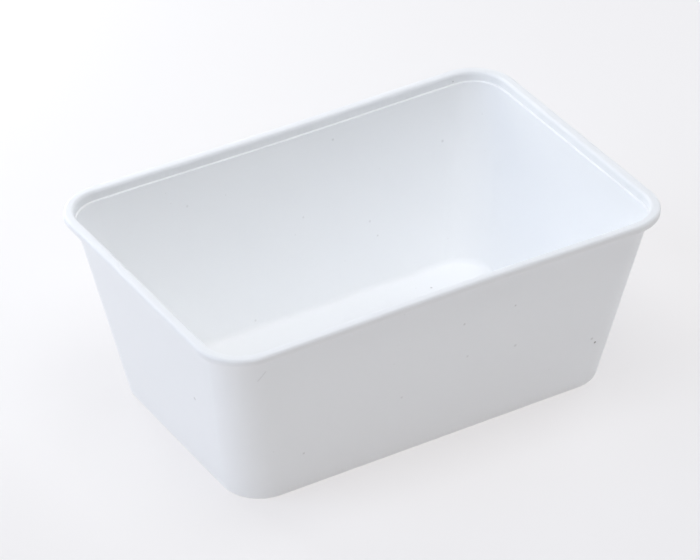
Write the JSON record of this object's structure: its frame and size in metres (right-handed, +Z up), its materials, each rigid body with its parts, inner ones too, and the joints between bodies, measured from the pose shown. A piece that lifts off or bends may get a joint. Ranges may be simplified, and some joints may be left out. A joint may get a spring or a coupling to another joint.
{
  "type": "microwave food container",
  "caption": "Empty open rectangular food tub in thin white plastic, with sloping walls, round corners, a rolled rim with a turned-down lip and a lid ledge inside.",
  "frame": {"origin": "middle of the flat underside", "axes": "+X along the long sides, +Y along the short sides, +Z up through the open top"},
  "size_m": [0.175, 0.1186, 0.0691],
  "materials": {
    "polypropylene": "satin"
  },
  "bodies": {
    "root": {"container": "polypropylene"}
  },
  "joints": []
}
